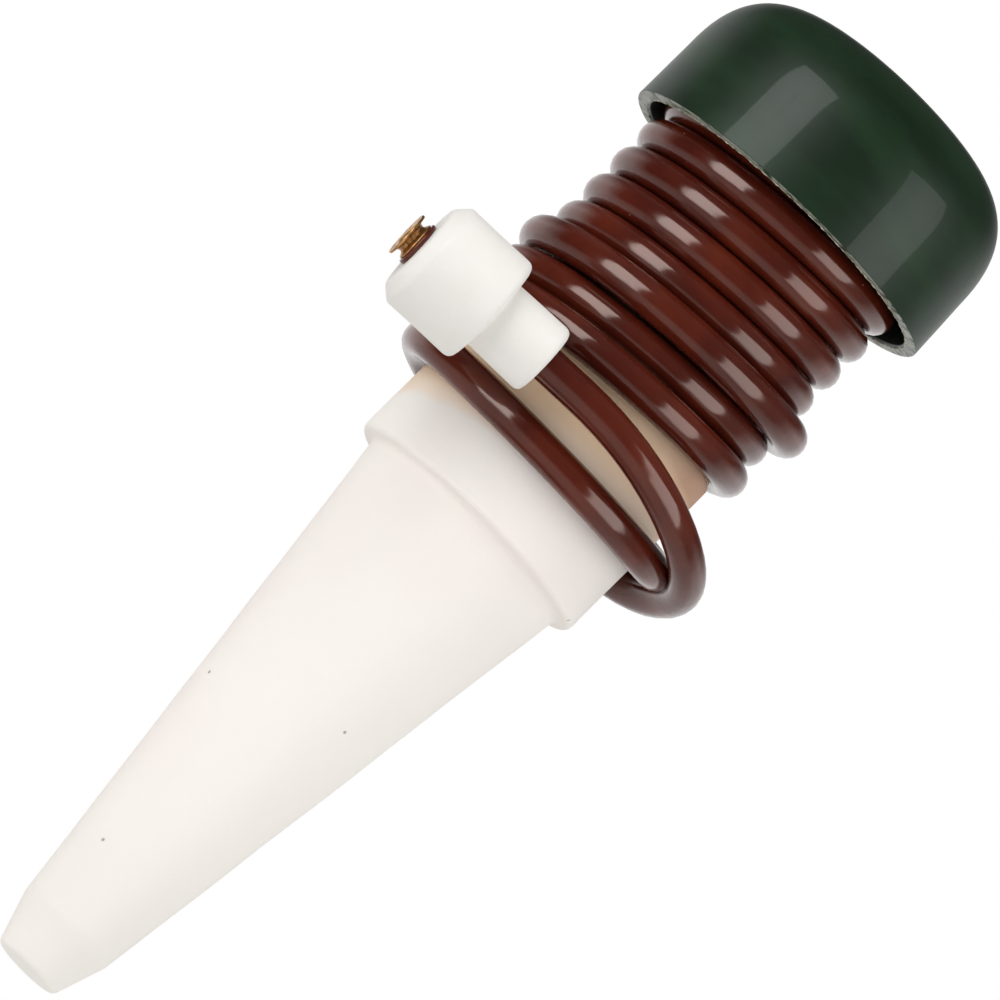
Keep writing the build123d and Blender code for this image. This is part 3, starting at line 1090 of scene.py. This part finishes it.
# Brightness of the room in reflections, on all sides and added on one, and its light from below.
# Each side fades in as more of a direction points to it, from its first value to its second, and
# the wall behind fades out again with height.
WALLS = 0.05
WALL_FRONT, FADE_FRONT = 0.05, (0.6, 0.9)
WALL_RIGHT, FADE_RIGHT = 0.2, (0.7, 0.95)
WALL_ABOVE, FADE_ABOVE = 0.1, (0.45, 0.8)
WALL_BEHIND, FADE_BEHIND, BEHIND_TOP = 0.95, (0.25, 0.6), (0.2, 0.5)
LIGHT_BELOW, FADE_BELOW = 0.65, (0.5, 0.8)

# Side of the floor in metres, and how far it lies under the tip in millimetres
FLOOR_SIZE = 0.8
FLOOR_DROP = 0.05

# Radii round the axis, in metres, over which the floor fades out, and over which it lets light
# from below reach the tip
FLOOR_FADE = (0.14, 0.34)
UNDER_TIP = (0.012, 0.055)


def softbox(name, azimuth, elevation, size, power, gloss, distance):
    """An area lamp facing the object, for its light or for its reflections."""
    lamp = bpy.data.lights.new(name, "AREA")
    lamp.shape = "RECTANGLE"
    lamp.size, lamp.size_y = size
    lamp.energy = power
    holder = bpy.data.objects.new(name, lamp)
    turn, rise = math.radians(azimuth), math.radians(elevation)
    away = Vector(
        (math.sin(turn) * math.cos(rise), -math.cos(turn) * math.cos(rise), math.sin(rise))
    )
    holder.location = LAMP_TARGET + away * distance
    holder.rotation_mode = "QUATERNION"
    holder.rotation_quaternion = away.to_track_quat("Z", "Y")
    holder.visible_camera = False
    holder.visible_glossy = gloss
    holder.visible_diffuse = not gloss
    bpy.context.collection.objects.link(holder)


def room(world, strength):
    """A white room to the camera, a plain level as a light, and its walls in reflections."""
    world.use_nodes = True
    tree = Tree(world.node_tree)
    path = tree.node("ShaderNodeLightPath")
    seen = tree.number(path.outputs["Is Camera Ray"])
    mirrored = tree.number(path.outputs["Is Glossy Ray"])
    mirrored = (mirrored + tree.number(path.outputs["Is Transmission Ray"])).clamped()
    x, y, z = tree.parts(tree.node("ShaderNodeTexCoord").outputs["Generated"], "XYZ")
    walls = WALLS + WALL_FRONT * (0.0 - y).ramp(*FADE_FRONT)
    walls += WALL_RIGHT * x.ramp(*FADE_RIGHT)
    walls += WALL_ABOVE * z.ramp(*FADE_ABOVE)
    walls += WALL_BEHIND * (y.ramp(*FADE_BEHIND) * (1.0 - z.ramp(*BEHIND_TOP)))
    walls = walls.clamped()
    light = strength + LIGHT_BELOW * (0.0 - z).ramp(*FADE_BELOW)
    level = seen + (1.0 - seen) * (mirrored * walls + (1.0 - mirrored) * light)
    inputs = {"Color": (1, 1, 1, 1), "Strength": level}
    shader = tree.node("ShaderNodeBackground", None, inputs)
    tree.node("ShaderNodeOutputWorld", None, {"Surface": shader.outputs[0]})


def floor_finish():
    """Pale matte floor that fades out to the room, isn't there from below, and lets the
    room's light reach the tip's underside."""
    material, tree = new_finish("pale_floor")
    across, along = tree.parts(tree.object_place(), "XY")
    reach = (across * across + along * along) ** 0.5
    below = tree.number(tree.node("ShaderNodeNewGeometry").outputs["Backfacing"])
    seen = tree.number(tree.node("ShaderNodeLightPath").outputs["Is Camera Ray"])
    under_tip = (1.0 - seen) * (1.0 - reach.ramp(*UNDER_TIP))
    clear = below + reach.ramp(*FLOOR_FADE) + under_tip
    matte = tree.node("ShaderNodeBsdfDiffuse", None, {"Color": (0.88, 0.88, 0.88, 1)})
    open_air = tree.node("ShaderNodeBsdfTransparent")
    inputs = {0: clear.clamped(), 1: matte.outputs[0], 2: open_air.outputs[0]}
    shader = tree.node("ShaderNodeMixShader", None, inputs)
    tree.node("ShaderNodeOutputMaterial", None, {"Surface": shader.outputs[0]})
    return material


def photo_camera(studio):
    """The camera in front of the object, tipped and rolled as the photograph is."""
    camera = bpy.data.cameras.new("photo_camera")
    camera.lens = studio.lens
    camera.sensor_width = SENSOR_WIDTH
    camera.clip_start = CLIP_START
    holder = bpy.data.objects.new("photo_camera", camera)
    bpy.context.collection.objects.link(holder)
    rise = math.radians(studio.elevation)
    away = Vector((0, -math.cos(rise), math.sin(rise)))
    distance = studio.frame_width * MM / SENSOR_WIDTH * studio.lens
    holder.location = CAMERA_TARGET + away * distance
    holder.rotation_mode = "QUATERNION"
    level = away.to_track_quat("Z", "Y")
    holder.rotation_quaternion = level @ Quaternion((0, 0, 1), math.radians(studio.roll))
    return holder


class SPIKE_OT_stage(bpy.types.Operator):
    """Floor, room, softboxes and the camera at the photographed angle"""

    bl_idname = "spike.stage"
    bl_label = "Studio"

    def execute(self, context):
        studio = context.scene.studio
        context.scene.view_settings.view_transform = "Standard"
        world = bpy.data.worlds.new("studio_room")
        context.scene.world = world
        room(world, studio.world_strength)
        ground = (0, 0, (TIP_HEIGHT - FLOOR_DROP) * MM)
        bpy.ops.mesh.primitive_plane_add(size=FLOOR_SIZE, location=ground)
        floor = context.object
        floor.name = "floor"
        floor.data.materials.append(floor_finish())
        for name, azimuth, elevation, size, setting, gloss, distance in LAMPS:
            power = getattr(studio, setting)
            softbox(name, azimuth, elevation, size, power, gloss, distance)
        context.scene.camera = photo_camera(studio)
        return {"FINISHED"}


class SPIKE_PT_panel(bpy.types.Panel):
    """The spike's sizes, colours and build steps"""

    bl_label = "Self watering spike"
    bl_idname = "SPIKE_PT_panel"
    bl_space_type = "VIEW_3D"
    bl_region_type = "UI"
    bl_category = "Watering spike"

    def draw(self, context):
        scene = context.scene
        for key in GROUPS:
            group = getattr(scene, key)
            for name in group.__annotations__:
                self.layout.prop(group, name)
        for operator in OPERATORS:
            self.layout.operator(operator.bl_idname)


GROUPS = {
    "spike_sizes": SpikeSizes,
    "neck_sizes": NeckSizes,
    "hose_sizes": HoseSizes,
    "spike_colours": SpikeColours,
    "studio": StudioSettings,
}
OPERATORS = [
    SPIKE_OT_stage,
    SPIKE_OT_clay,
    SPIKE_OT_neck,
    SPIKE_OT_spool,
    SPIKE_OT_cap,
    SPIKE_OT_hose,
    SPIKE_OT_end_fittings,
]


def register():
    for group in GROUPS.values():
        bpy.utils.register_class(group)
    for operator in OPERATORS:
        bpy.utils.register_class(operator)
    bpy.utils.register_class(SPIKE_PT_panel)
    for name, group in GROUPS.items():
        setattr(bpy.types.Scene, name, PointerProperty(type=group))


def unregister():
    for name in GROUPS:
        delattr(bpy.types.Scene, name)
    bpy.utils.unregister_class(SPIKE_PT_panel)
    for operator in reversed(OPERATORS):
        bpy.utils.unregister_class(operator)
    for group in reversed(GROUPS.values()):
        bpy.utils.unregister_class(group)


def main():
    register()
    for operator in OPERATORS:
        area, step = operator.bl_idname.split(".")
        getattr(getattr(bpy.ops, area), step)()


if __name__ == "__main__":
    main()
